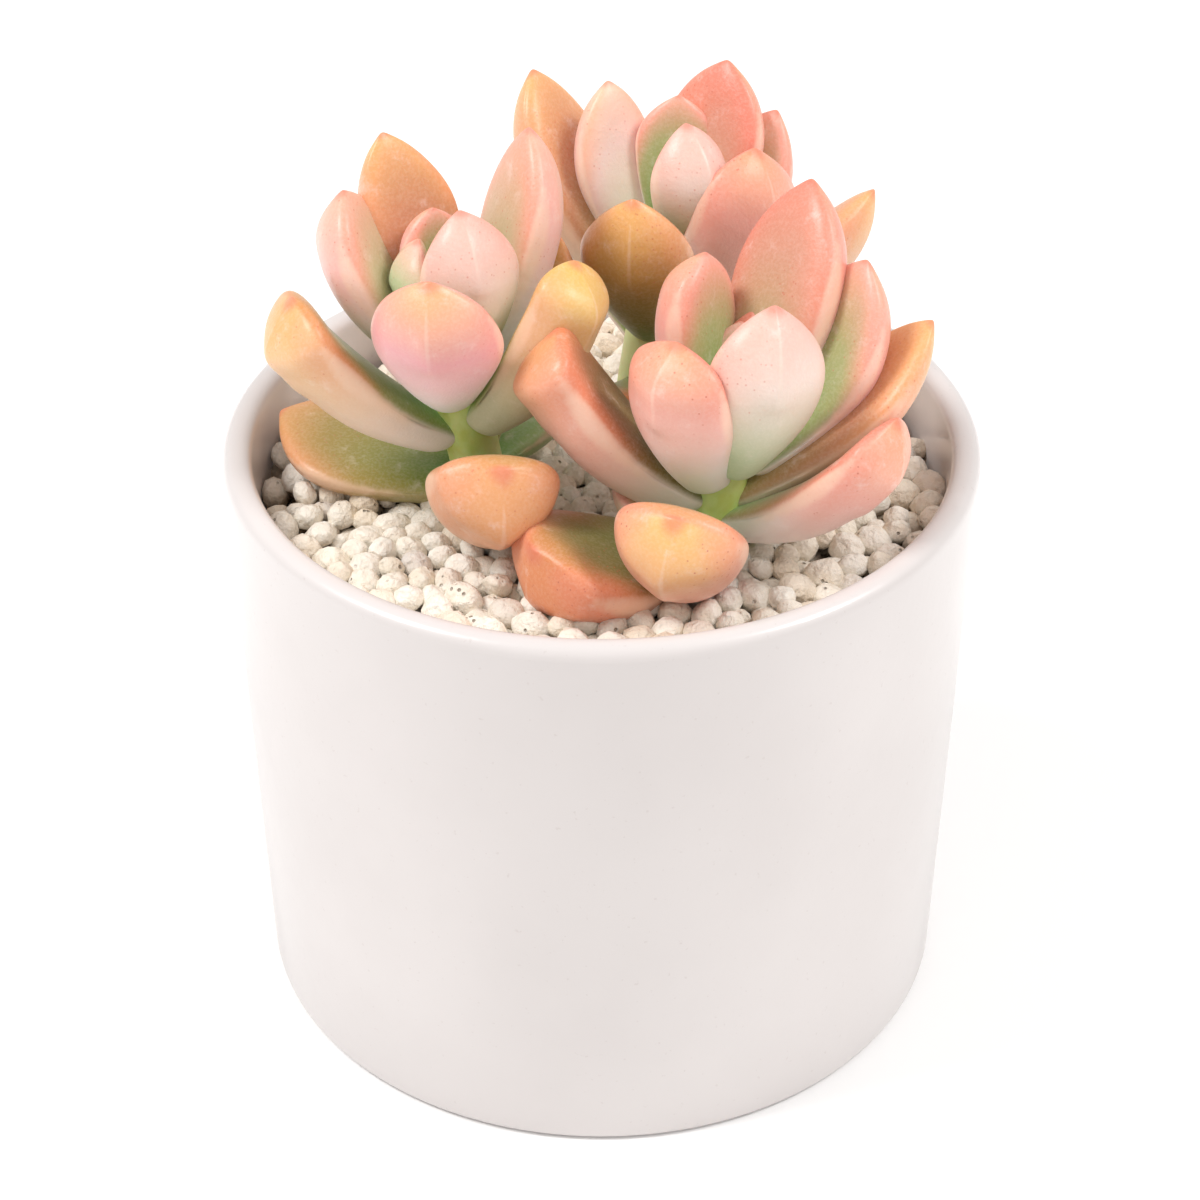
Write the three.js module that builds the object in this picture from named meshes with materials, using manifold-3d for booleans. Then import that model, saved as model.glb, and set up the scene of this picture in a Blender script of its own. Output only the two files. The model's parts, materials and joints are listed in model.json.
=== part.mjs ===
// A potted succulent: three fleshy-leaved rosettes on short stems, growing in potting soil under a layer of
// white pumice, in a white glazed ceramic pot. Millimetres, +Z up, origin at the centre of the pot's foot.
// Every leaf is a separate blade that stands on its stem with a hair's gap, trimmed where neighbours press on it.
import * as THREE from "three";
import { mergeVertices } from "three/addons/utils/BufferGeometryUtils.js";
import Module from "manifold-3d";

// ---- Pot ----
const POT_RADIUS = 47.5;
const POT_HEIGHT = 78.7;
const FOOT_RADIUS = 45.7;
const WALL = 3.7;
const FLOOR = 5;
const RIM_ROUND = 1.8;
const FOOT_ROUND = 1.2;
const FLOOR_FILLET = 2.4;
const FOOT_RING_WIDTH = 5;
const FOOT_RECESS = 1.5;
const DRAIN_RADIUS = 5;
const POT_SIDES = 60;

// ---- Fill ----
const PUMICE_BELOW_RIM = 6.7;
const PUMICE_DEPTH = 12;
const PUMICE_RIPPLE = 0.45;
const PUMICE_RIPPLE_PITCH = 12;
const PUMICE_RINGS = 5;
const FILL_GAP = 0.3;

// ---- Stems ----
const CLEARANCE = 0.3;
const STEM_RADIUS = 2.6;
const STEM_BURIED = 17;
const STEM_TOP = 0.92; // share of the crown's height at which the stem ends among its leaves
const STEM_SIDES = 12;
const STEM_STEPS = 7;

// ---- Leaves ----
const LEAF_LENGTH = 27;
const LEAF_WIDTH = 13;
const LEAF_THICKNESS = 7.5;
const LEAF_SET_OUT = 1; // from the stem's centre line to the middle of a leaf's foot
const LEAF_NECK = 0.36; // width of the foot, as a share of the widest
const LEAF_PEAK = 0.6; // share of the length at which it is widest
const LEAF_SHOULDER = 2.5; // how square its shoulders are
const LEAF_NECK_THICK = 0.62; // thickness of the foot, as a share of the thickest
const LEAF_THICK_AT = 0.45; // share of the length at which it is thickest
const LEAF_FACE_SHARE = 0.27; // share of the thickness that is above the margins
const LEAF_FULLNESS = 1.8; // how round it is across
const LEAF_SIDES = 8;
const LEAF_RINGS = 8;
const LEAF_FIRST_RING = 0.01; // share of the length at which the blunt foot reaches its full width

// Each plant: where its stem leaves the pumice, where its crown is and how high the crown stands above the
// pumice.
// Each leaf: [up, bearing, rise, curl, size, breadth, roll].
//   up       height of its foot on the stem, as a share of the crown's height
//   bearing  way it points, in degrees about +Z from +X (180 left, 270 to the front)
//   rise     slope of the line from its foot to its tip, in degrees
//   curl     how far it bends upwards over its length, in degrees
//   size     its length, as a share of LEAF_LENGTH
//   breadth  its width and thickness, as a share of LEAF_WIDTH and LEAF_THICKNESS
//   roll     its twist about that line, in degrees
const PLANTS = [
  {
    name: "left",
    foot: [-15, -3.5],
    crown: [-19.5, -3.5],
    height: 26,
    leaves: [
      [0.10, 155, 4, 18, 1.02, 1.25, 0],
      [0.12, 281, 33, 30, 0.86, 1.22, -8],
      [0.16, 48, 12, 20, 0.68, 0.9, 0],
      [0.24, 92, 24, 30, 1.0, 1.0, 0],
      [0.35, 195, 47, 44, 1.1, 1.2, -12],
      [0.36, 53, 47, 30, 0.97, 0.9, 0],
      [0.45, 346, 60, 48, 1.0, 1.1, -35],
      [0.50, 118, 42, 25, 1.0, 0.95, 0],
      [0.58, 259, 62, 30, 0.9, 1.22, 0],
      [0.65, 52, 63, 28, 1.15, 1.1, 0],
      [0.70, 126, 63, 20, 1.07, 1.05, 0],
      [0.70, 162, 60, 28, 0.93, 1.05, 0],
      [0.74, 310, 86, 45, 0.8, 1.0, 0],
      [0.84, 110, 78, 30, 0.6, 0.75, 0],
      [0.90, 185, 82, 20, 0.45, 0.5, 0],
    ],
  },
  {
    name: "right",
    foot: [13, -15.5],
    crown: [15.5, -15.5],
    height: 20,
    leaves: [
      [0.04, 211, 16, 34, 0.93, 1.2, 0],
      [0.10, 40, 10, 15, 0.5, 0.7, 0],
      [0.12, 255, 36, 28, 0.86, 1.25, -6],
      [0.20, 165, 16, 20, 0.45, 0.8, 0],
      [0.28, 80, 24, 28, 1.0, 1.0, 0],
      [0.30, 341, 38, 42, 1.0, 1.15, 0],
      [0.40, 14, 38, 25, 1.19, 1.1, 0],
      [0.40, 172, 48, 48, 1.06, 1.3, 0],
      [0.50, 229, 71, 32, 0.87, 1.15, 0],
      [0.60, 26, 52, 32, 1.08, 1.2, 0],
      [0.66, 104, 67, 28, 0.88, 1.05, 0],
      [0.70, 58, 56, 20, 1.22, 1.3, 0],
      [0.56, 318, 76, 40, 0.96, 1.2, -30],
      [0.76, 62, 52, 25, 0.6, 0.75, 0],
      [0.85, 80, 50, 22, 0.45, 0.6, 0],
    ],
  },
  {
    name: "back",
    foot: [5, 19],
    crown: [9, 19],
    height: 27,
    leaves: [
      [0.16, 265, 12, 20, 0.45, 0.8, 0],
      [0.24, 46, 16, 25, 0.85, 0.9, 0],
      [0.34, 112, 38, 28, 0.9, 0.95, 0],
      [0.40, 8, 33, 25, 1.22, 1.05, 0],
      [0.45, 256, 64, 25, 0.96, 1.15, 0],
      [0.46, 84, 44, 28, 0.9, 1.0, 0],
      [0.55, 141, 53, 25, 1.22, 1.15, 0],
      [0.56, 343, 64, 35, 0.96, 1.25, -40],
      [0.63, 127, 67, 22, 0.98, 1.0, 0],
      [0.66, 30, 51, 20, 0.94, 0.85, 0],
      [0.70, 50, 65, 20, 1.02, 1.15, 0],
      [0.78, 315, 84, 30, 0.74, 1.12, -15],
      [0.81, 78, 70, 25, 0.72, 0.85, 0],
      [0.86, 40, 74, 20, 0.42, 0.5, 0],
    ],
  },
];

const wasm = await Module();
wasm.setup();

const pumiceTop = POT_HEIGHT - PUMICE_BELOW_RIM;
const pumiceFoot = pumiceTop - PUMICE_DEPTH;
const boreRadius = POT_RADIUS - WALL;
const boreFootRadius = FOOT_RADIUS - WALL;
const radians = THREE.MathUtils.degToRad;
const { lerp, clamp, smoothstep } = THREE.MathUtils;

// ---- Solids ----

// A mesh's geometry, in the part's frame, as a manifold solid.
function solidOf(mesh) {
  mesh.updateWorldMatrix(true, false);
  const loose = mesh.geometry.index ? mesh.geometry.toNonIndexed() : mesh.geometry.clone();
  loose.deleteAttribute("normal");
  loose.deleteAttribute("uv");
  const merged = mergeVertices(loose.applyMatrix4(mesh.matrixWorld), 1e-3);
  return new wasm.Manifold(new wasm.Mesh({
    numProp: 3,
    vertProperties: merged.attributes.position.array,
    triVerts: new Uint32Array(merged.index.array),
  }));
}

// The largest of the bodies that a cut leaves.
function mainBody(solid) {
  return solid.decompose().reduce((best, body) => (body.volume() > best.volume() ? body : best));
}

// Puts the main body of a solid in the part's frame back into a mesh, in that mesh's own frame.
function giveSolid(mesh, solid) {
  const made = mainBody(solid).getMesh();
  mesh.geometry = new THREE.BufferGeometry()
    .setAttribute("position", new THREE.BufferAttribute(new Float32Array(made.vertProperties), 3))
    .setIndex(new THREE.BufferAttribute(new Uint32Array(made.triVerts), 1))
    .applyMatrix4(mesh.matrixWorld.clone().invert());
  mesh.geometry.computeVertexNormals();
}

// Cuts other solids out of a mesh. The rest is read back once, so that no thread of a sliver stays on it.
function trim(mesh, cutters) {
  giveSolid(mesh, cutters.reduce((solid, cutter) => solid.subtract(cutter), solidOf(mesh)));
  giveSolid(mesh, solidOf(mesh));
}

function boxesMeet(a, b) {
  const p = a.boundingBox();
  const q = b.boundingBox();
  return [0, 1, 2].every((i) => p.min[i] < q.max[i] && q.min[i] < p.max[i]);
}

function material(color, roughness) {
  return new THREE.MeshStandardMaterial({ color, roughness, metalness: 0 });
}

// ---- Pot and fill ----

const at = (x, y) => new THREE.Vector2(x, y);

// Quarter-round from one point of a profile to another, bulging towards the corner.
function round(from, corner, to) {
  return new THREE.QuadraticBezierCurve(from, corner, to).getPoints(3);
}

function potProfile() {
  const ringInner = FOOT_RADIUS - FOOT_RING_WIDTH;
  return [
    at(DRAIN_RADIUS, FLOOR),
    at(DRAIN_RADIUS, FOOT_RECESS),
    at(ringInner - FOOT_RECESS, FOOT_RECESS),
    at(ringInner, 0),
    ...round(at(FOOT_RADIUS - FOOT_ROUND, 0), at(FOOT_RADIUS, 0), at(FOOT_RADIUS, FOOT_ROUND)),
    ...round(at(POT_RADIUS, POT_HEIGHT - RIM_ROUND), at(POT_RADIUS, POT_HEIGHT),
      at(POT_RADIUS - RIM_ROUND, POT_HEIGHT)),
    ...round(at(boreRadius + RIM_ROUND, POT_HEIGHT), at(boreRadius, POT_HEIGHT),
      at(boreRadius, POT_HEIGHT - RIM_ROUND)),
    ...round(at(boreFootRadius, FLOOR + FLOOR_FILLET), at(boreFootRadius, FLOOR),
      at(boreFootRadius - FLOOR_FILLET, FLOOR)),
    at(DRAIN_RADIUS, FLOOR),
  ];
}

// LatheGeometry turns a profile about +Y, so the pieces made with it are stood up on +Z.
function turned(name, profile, look) {
  const mesh = new THREE.Mesh(new THREE.LatheGeometry(profile, POT_SIDES), look);
  mesh.name = name;
  mesh.rotation.x = Math.PI / 2;
  return mesh;
}

// Radius of the pot's bore at a height, less the gap that the fill keeps to it.
function fillRadius(z) {
  const low = FLOOR + FLOOR_FILLET;
  const high = POT_HEIGHT - RIM_ROUND;
  return lerp(boreFootRadius, boreRadius, clamp((z - low) / (high - low), 0, 1)) - FILL_GAP;
}

function soil() {
  const low = FLOOR + FILL_GAP;
  const high = pumiceFoot - FILL_GAP;
  return turned("potting_soil", [
    at(0, low),
    at(fillRadius(low) - FLOOR_FILLET, low),
    at(fillRadius(low), low + FLOOR_FILLET),
    at(fillRadius(high), high),
    at(0, high),
  ], material(0x4a372a, 1));
}

// The pumice layer: its top lies in low waves.
function pumice() {
  const profile = [at(0, pumiceFoot), at(fillRadius(pumiceFoot), pumiceFoot)];
  for (let i = PUMICE_RINGS; i >= 0; i--)
    profile.push(at((fillRadius(pumiceTop) * i) / PUMICE_RINGS, pumiceTop));
  const mesh = turned("pumice_layer", profile, material(0xf1ebdf, 0.95));
  const place = mesh.geometry.attributes.position;
  const turn = (2 * Math.PI) / PUMICE_RIPPLE_PITCH;
  for (let i = 0; i < place.count; i++) {
    if (place.getY(i) < pumiceTop - 1e-3) continue;
    const wave = Math.sin(turn * place.getX(i)) * Math.cos(turn * place.getZ(i));
    place.setY(i, pumiceTop + PUMICE_RIPPLE * (wave - 1));
  }
  return mesh;
}

// ---- Plants ----

// A stem is a round rod along a curve, from its buried end to its crown. A margin grows it, to use as a cutter.
function stemGeometry(plant, margin = 0) {
  const [footX, footY] = plant.foot;
  const [crownX, crownY] = plant.crown;
  const path = new THREE.CatmullRomCurve3([
    new THREE.Vector3(footX, footY, pumiceTop - STEM_BURIED - margin),
    new THREE.Vector3(footX, footY, pumiceTop),
    new THREE.Vector3((footX + crownX) / 2, (footY + crownY) / 2, pumiceTop + plant.height / 2),
    new THREE.Vector3(crownX, crownY, pumiceTop + STEM_TOP * plant.height + margin),
  ]);
  const turn = (2 * Math.PI) / STEM_SIDES;
  const section = Array.from({ length: STEM_SIDES }, (_, i) =>
    at((STEM_RADIUS + margin) * Math.cos(turn * i), (STEM_RADIUS + margin) * Math.sin(turn * i)));
  return new THREE.ExtrudeGeometry(new THREE.Shape(section), { steps: STEM_STEPS, extrudePath: path });
}

// Half-width of a leaf, as a share of its widest, from its foot (0) to its tip (1).
function outline(s) {
  if (s < LEAF_PEAK) return lerp(LEAF_NECK, 1, smoothstep(s, 0, LEAF_PEAK));
  return 1 - ((s - LEAF_PEAK) / (1 - LEAF_PEAK)) ** LEAF_SHOULDER;
}

// Thickness of a leaf, as a share of its thickest, from its foot (0) to its tip (1).
function plumpness(s) {
  if (s < LEAF_THICK_AT) return lerp(LEAF_NECK_THICK, 1, smoothstep(s, 0, LEAF_THICK_AT));
  return (1 - ((s - LEAF_THICK_AT) / (1 - LEAF_THICK_AT)) ** LEAF_SHOULDER) ** 0.7;
}

// A leaf blade in its own frame: foot at the origin, tip along +X, face up +Z, bowed down in the middle. It is a
// sphere whose rings are spread along the bow. A margin grows it on every side, for use as a cutter.
function leafGeometry([, , , curl, size, breadth], margin = 0) {
  const halfWidth = (LEAF_WIDTH * breadth) / 2;
  const thickness = LEAF_THICKNESS * breadth;
  const turn = radians(curl);
  const bend = (LEAF_LENGTH * size) / turn;
  const blade = new THREE.SphereGeometry(1, LEAF_SIDES, LEAF_RINGS);
  const place = blade.attributes.position;
  for (let i = 0; i < place.count; i++) {
    const unit = [place.getX(i), place.getY(i), place.getZ(i)];
    const [x, y, z] = unit.map((value) => Math.round(value * 1e6) / 1e6);
    const girth = Math.hypot(x, z);
    const across = girth > 0 ? x / girth : 0;
    const above = Math.sign(z);
    const ring = Math.round((Math.acos(clamp(y, -1, 1)) / Math.PI) * LEAF_RINGS);
    const s = ring === 0 ? 0 : lerp(LEAF_FIRST_RING, 1, (ring - 1) / (LEAF_RINGS - 1));
    const side = across * (halfWidth * outline(s) + margin);
    const depth = thickness * plumpness(s) * (1 - Math.abs(across) ** LEAF_FULLNESS);
    const lift = above * (depth * (above > 0 ? LEAF_FACE_SHARE : 1 - LEAF_FACE_SHARE) + margin);
    const stretch = girth > 0 ? 0 : Math.sign(s - 0.5) * margin;
    const angle = turn * (s - 0.5);
    const along = bend * (Math.sin(angle) + Math.sin(turn / 2)) - lift * Math.sin(angle) + stretch;
    const sag = bend * (Math.cos(turn / 2) - Math.cos(angle));
    place.setXYZ(i, along, side, sag + lift * Math.cos(angle));
  }
  return blade;
}

// Stands a leaf's mesh on its stem: foot inside the stem's skin, turned to its bearing, rise and roll.
function poseLeaf(mesh, plant, [up, bearing, rise, , , , roll]) {
  mesh.position.set(
    lerp(plant.foot[0], plant.crown[0], up) + LEAF_SET_OUT * Math.cos(radians(bearing)),
    lerp(plant.foot[1], plant.crown[1], up) + LEAF_SET_OUT * Math.sin(radians(bearing)),
    pumiceTop + up * plant.height,
  );
  mesh.rotation.order = "ZYX";
  mesh.rotation.set(radians(roll), -radians(rise), radians(bearing));
  return mesh;
}

const LEAF_LOOK = material(0xe8a78c, 0.5);
const STEM_LOOK = material(0x9db56a, 0.55);

const pot = turned("ceramic_pot", potProfile(), material(0xf0ecea, 0.25));
const soilBed = soil();
const pumiceBed = pumice();
const part = new THREE.Group();
part.add(pot, soilBed, pumiceBed);

// Stems pass down through the fill, which is bored out round them.
const stemCutters = PLANTS.map((plant) => {
  const stem = new THREE.Mesh(stemGeometry(plant), STEM_LOOK);
  stem.name = `${plant.name}_stem`;
  part.add(stem);
  return solidOf(new THREE.Mesh(stemGeometry(plant, CLEARANCE)));
});
trim(soilBed, stemCutters);
trim(pumiceBed, stemCutters);

// Leaves are fitted from each crown outwards. Each is trimmed by what is there already: the stems and the leaves
// before it, grown by the clearance, and the pot and pumice, raised by it. So the inner leaves stay whole.
const standing = [
  ...stemCutters,
  ...[pot, pumiceBed].map((mesh) => solidOf(mesh).translate([0, 0, CLEARANCE]).add(solidOf(mesh))),
];
for (const plant of PLANTS) {
  const bunch = new THREE.Group();
  part.add(bunch);
  for (let i = plant.leaves.length - 1; i >= 0; i--) {
    const row = plant.leaves[i];
    const leaf = poseLeaf(new THREE.Mesh(leafGeometry(row), LEAF_LOOK), plant, row);
    leaf.name = `${plant.name}_leaf_${String(i + 1).padStart(2, "0")}`;
    bunch.add(leaf);
    const full = solidOf(leaf);
    trim(leaf, standing.filter((other) => boxesMeet(full, other)));
    standing.push(solidOf(poseLeaf(new THREE.Mesh(leafGeometry(row, CLEARANCE)), plant, row)));
  }
}

export default part;
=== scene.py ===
# A potted succulent: three rosettes of fleshy leaves in a white glazed pot, topped with pumice pellets.
import json
from math import cos, pi, radians, sin

import bpy
import numpy as np
from mathutils import Matrix, Vector
from mathutils.bvhtree import BVHTree

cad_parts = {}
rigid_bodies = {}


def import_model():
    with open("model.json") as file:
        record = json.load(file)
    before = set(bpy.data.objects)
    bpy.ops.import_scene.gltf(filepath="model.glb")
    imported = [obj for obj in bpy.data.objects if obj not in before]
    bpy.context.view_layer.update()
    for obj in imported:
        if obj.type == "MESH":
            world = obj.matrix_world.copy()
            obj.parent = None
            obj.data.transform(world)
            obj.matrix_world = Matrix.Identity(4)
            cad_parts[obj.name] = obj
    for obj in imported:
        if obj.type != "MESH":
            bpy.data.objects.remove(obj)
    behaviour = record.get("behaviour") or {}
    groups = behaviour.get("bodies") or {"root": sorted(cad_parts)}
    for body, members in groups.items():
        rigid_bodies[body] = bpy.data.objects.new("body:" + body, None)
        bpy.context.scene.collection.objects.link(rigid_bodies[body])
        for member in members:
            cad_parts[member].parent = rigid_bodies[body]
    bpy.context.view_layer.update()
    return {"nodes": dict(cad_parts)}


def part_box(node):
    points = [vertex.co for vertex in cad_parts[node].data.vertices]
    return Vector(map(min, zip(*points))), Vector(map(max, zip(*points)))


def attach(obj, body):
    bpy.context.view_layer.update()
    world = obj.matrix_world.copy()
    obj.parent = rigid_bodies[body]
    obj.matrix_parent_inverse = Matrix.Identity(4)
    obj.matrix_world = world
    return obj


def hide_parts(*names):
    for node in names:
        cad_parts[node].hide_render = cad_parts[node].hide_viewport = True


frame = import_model()

# ---------------------------------------------------------------------------------------------------------
# View: a camera above the front rim, looking down into the pot, a wide pale floor, and soft light from a
# bright room with one large softbox at the upper left and a weaker one at the right.
MM = 0.001
AIM = Vector((0, 0, 45 * MM))
CAMERA_RISE = radians(35.8)
CAMERA_DISTANCE = 0.386
LENS = 87.6
LENS_SHIFT = (-0.0015, 0.0404)
ROOM_COLOUR = (1, 0.985, 0.975, 1)
ROOM_STRENGTH = 0.74
FLOOR_COLOUR = (0.97, 0.968, 0.965, 1)
FLOOR_SIZE = 8
camera = bpy.data.objects.new("camera", bpy.data.cameras.new("camera"))
bpy.context.collection.objects.link(camera)
camera.location = AIM + CAMERA_DISTANCE * Vector((0, -cos(CAMERA_RISE), sin(CAMERA_RISE)))
camera.rotation_euler = (pi / 2 - CAMERA_RISE, 0, 0)
camera.data.lens = LENS
camera.data.sensor_width = 36
camera.data.shift_x, camera.data.shift_y = LENS_SHIFT
camera.data.clip_start = 0.01
bpy.context.scene.camera = camera
bpy.context.scene.view_settings.view_transform = "Standard"


def softbox(name, place, size, power):
    """A large square light that faces the plants."""
    light = bpy.data.objects.new(name, bpy.data.lights.new(name, "AREA"))
    bpy.context.collection.objects.link(light)
    light.data.size = size
    light.data.energy = power
    light.location = place
    light.rotation_euler = (AIM - light.location).to_track_quat("-Z", "Y").to_euler()


softbox("softbox_left", Vector((-0.6, -0.12, 0.9)), size=0.32, power=6.0)
softbox("softbox_right", Vector((0.65, -0.12, 0.85)), size=0.32, power=4.4)
room = bpy.data.worlds.new("room")
bpy.context.scene.world = room
room.use_nodes = True
room.node_tree.nodes["Background"].inputs["Color"].default_value = ROOM_COLOUR
room.node_tree.nodes["Background"].inputs["Strength"].default_value = ROOM_STRENGTH


class Value:
    """A value on its way through a material's nodes. Arithmetic on it adds Math nodes."""

    def __init__(self, tree, socket=None):
        self.tree = tree
        self.socket = socket

    def make(self, kind, settings=None, sockets=None, out=0):
        """Adds a node, sets it up, feeds its sockets with numbers or values, and gives one output."""
        node = self.tree.nodes.new(kind)
        for name, setting in (settings or {}).items():
            if name == "stops":
                ramp = node.color_ramp
                while len(ramp.elements) < len(setting):
                    ramp.elements.new(1)
                for element, (place, colour) in zip(ramp.elements, setting):
                    element.position = place
                    element.color = (*colour, 1)
            else:
                setattr(node, name, setting)
        for name, value in (sockets or {}).items():
            if isinstance(value, Value):
                self.tree.links.new(value.socket, node.inputs[name])
            else:
                node.inputs[name].default_value = value
        return Value(self.tree, node.outputs[out] if node.outputs else None)

    def math(self, operation, *values):
        return self.make("ShaderNodeMath", {"operation": operation}, dict(enumerate(values)))

    def __add__(self, other):
        return self.math("ADD", self, other)

    def __sub__(self, other):
        return self.math("SUBTRACT", self, other)

    def __mul__(self, other):
        return self.math("MULTIPLY", self, other)

    def __pow__(self, other):
        return self.math("POWER", self, other)

    def __radd__(self, other):
        return self.math("ADD", other, self)

    def __rsub__(self, other):
        return self.math("SUBTRACT", other, self)

    def __rmul__(self, other):
        return self.math("MULTIPLY", other, self)

    def __abs__(self):
        return self.math("ABSOLUTE", self)

    def between(self, low, high):
        """0 below low, 1 above high, and a smooth step from one to the other."""
        return self.make("ShaderNodeMapRange", {"interpolation_type": "SMOOTHSTEP"},
                         {"Value": self, "From Min": low, "From Max": high})

    def blend(self, below, above):
        """The colour below where this is 0, and the colour above where it is 1."""
        pair = [colour if isinstance(colour, Value) else (*colour, 1) for colour in (below, above)]
        return self.make("ShaderNodeMix", {"data_type": "RGBA"}, {0: self, 6: pair[0], 7: pair[1]}, 2)


def finish(name, **surface):
    """A material whose surface has these values, and a start for the values that vary over it."""
    made = bpy.data.materials.new(name)
    made.use_nodes = True
    made.node_tree.nodes.clear()
    start = Value(made.node_tree)
    shader = start.make("ShaderNodeBsdfPrincipled", None,
                        {key.replace("_", " "): value for key, value in surface.items()})
    start.make("ShaderNodeOutputMaterial", None, {"Surface": shader})
    start.shader = shader.socket.node
    start.place = start.make("ShaderNodeTexCoord", out=3)
    start.material = made
    return start


def noise(start, scale, detail=2.0, roughness=0.5):
    """Soft cloudy noise from 0 to 1. The scale is in cells to the metre."""
    return start.make("ShaderNodeTexNoise", None,
                      {"Vector": start.place, "Scale": scale, "Detail": detail, "Roughness": roughness})


def feed(start, socket, value):
    """Links a value that varies to a socket of the material's shader."""
    start.tree.links.new(value.socket, start.shader.inputs[socket])


def relief(start, height, depth):
    """Gives the surface a fine relief of this depth, in metres."""
    bump = start.make("ShaderNodeBump", None, {"Height": height, "Distance": depth, "Strength": 1.0})
    feed(start, "Normal", bump)


floor_paint = finish("floor_paint", Base_Color=FLOOR_COLOUR, Roughness=0.7)
bpy.ops.object.select_all(action="DESELECT")
bpy.ops.mesh.primitive_plane_add(size=FLOOR_SIZE)
table = bpy.context.object
table.name = "floor"
table.data.materials.append(floor_paint.material)

# ---------------------------------------------------------------------------------------------------------
# Pot: one turned and glazed earthenware pot, drawn from a disc. The wall leans out a little, the rim is
# rounded over, and under the floor there is a foot ring, a shallow recess and the drain hole.
POT_SIDES = 144
WALL = 3.7 * MM
FLOOR = 5 * MM
FOOT_RING = 5 * MM
FOOT_RECESS = 1.5 * MM
DRAIN_RADIUS = 5 * MM
LEAN = 0.9623  # the foot's radius as a share of the rim's
OUTER_LIP = 1.75 * MM
INNER_LIP = 1.6 * MM
FOOT_EDGE = 1.2 * MM
FLOOR_EDGE = 2.4 * MM
RECESS_EDGE = 0.3 * MM
DRAIN_EDGE = 0.8 * MM
GLAZE_COLOURS = ((0.66, 0.615, 0.60), (0.69, 0.645, 0.63))
GLAZE_SPECKS = (0.58, 0.52, 0.50)
pot_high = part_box("ceramic_pot")[1]
pot_radius = pot_high.x
pot_height = pot_high.z
foot_radius = pot_radius * LEAN


def edit(piece):
    """Takes one piece into edit mode with nothing selected."""
    bpy.ops.object.mode_set(mode="OBJECT")
    bpy.ops.object.select_all(action="DESELECT")
    piece.select_set(True)
    bpy.context.view_layer.objects.active = piece
    bpy.ops.object.mode_set(mode="EDIT")
    bpy.ops.mesh.select_all(action="DESELECT")


def pick(piece, wanted, kind="FACE"):
    """Selects only the faces, edges or vertices that are wanted, and stays in edit mode."""
    bpy.ops.mesh.select_all(action="DESELECT")
    bpy.ops.mesh.select_mode(type=kind)
    bpy.ops.object.mode_set(mode="OBJECT")
    mesh = piece.data
    if kind == "FACE":
        for face in mesh.polygons:
            face.select = wanted(face.center, face.normal)
    elif kind == "EDGE":
        for edge in mesh.edges:
            edge.select = wanted(*(mesh.vertices[i].co for i in edge.vertices))
    else:
        for vertex in mesh.vertices:
            vertex.select = wanted(vertex.co)
    bpy.ops.object.mode_set(mode="EDIT")


def grow(step, width=1.0, centre=(0, 0, 0)):
    """Draws the selection out by a step, then widens or narrows it about a centre."""
    bpy.ops.mesh.extrude_region_move(TRANSFORM_OT_translate={"value": step})
    bpy.ops.transform.resize(value=(width, width, 1), center_override=centre)


def apply(piece, kind, **settings):
    """Adds a modifier, sets it and applies it."""
    bpy.ops.object.mode_set(mode="OBJECT")
    bpy.ops.object.select_all(action="DESELECT")
    piece.select_set(True)
    bpy.context.view_layer.objects.active = piece
    modifier = piece.modifiers.new(kind.lower(), kind)
    for name, value in settings.items():
        setattr(modifier, name, value)
    bpy.ops.object.modifier_apply(modifier=modifier.name)


def drum(name, sides, radius, low, high):
    """A solid drum on the pot's axis, from one height up to another."""
    bpy.ops.object.select_all(action="DESELECT")
    bpy.ops.mesh.primitive_cylinder_add(vertices=sides, radius=radius, depth=high - low,
                                        location=(0, 0, (high + low) / 2))
    bpy.ops.object.transform_apply(location=True, rotation=True, scale=True)
    piece = bpy.context.object
    piece.name = name
    return piece


pot = drum("glazed_pot", POT_SIDES, foot_radius, 0, pot_height)
edit(pot)
pick(pot, lambda centre, normal: normal.z > 0.9)
bpy.ops.transform.resize(value=(1 / LEAN, 1 / LEAN, 1), center_override=(0, 0, pot_height))
bpy.ops.mesh.inset(thickness=WALL)
bore = (foot_radius - WALL) / (pot_radius - WALL)
grow((0, 0, FLOOR - pot_height), bore)
bpy.ops.mesh.inset(thickness=foot_radius - WALL - DRAIN_RADIUS)
bpy.ops.mesh.delete(type="FACE")
pick(pot, lambda centre, normal: normal.z < -0.9 and centre.z < MM and centre.xy.length < MM)
bpy.ops.mesh.inset(thickness=FOOT_RING)
recess = foot_radius - FOOT_RING
grow((0, 0, FOOT_RECESS), (recess - FOOT_RECESS) / recess)
bpy.ops.mesh.inset(thickness=recess - FOOT_RECESS - DRAIN_RADIUS)
bpy.ops.mesh.delete(type="FACE")
pick(pot, lambda a, b: all(abs(p.xy.length - DRAIN_RADIUS) < 0.2 * MM for p in (a, b))
     and abs(a.z - b.z) < 0.1 * MM, "EDGE")
bpy.ops.mesh.bridge_edge_loops()


def soften(piece, wanted, width, segments):
    """Rounds the edges that are wanted."""
    pick(piece, wanted, "EDGE")
    bpy.ops.mesh.bevel(offset=width, segments=segments, profile=0.5)


def ring_at(height, radius):
    """Tells an edge of the ring at this height and radius."""
    return lambda a, b: all(abs(p.z - height) < 0.05 * MM and abs(p.xy.length - radius) < 0.3 * MM
                            for p in (a, b))


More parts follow.
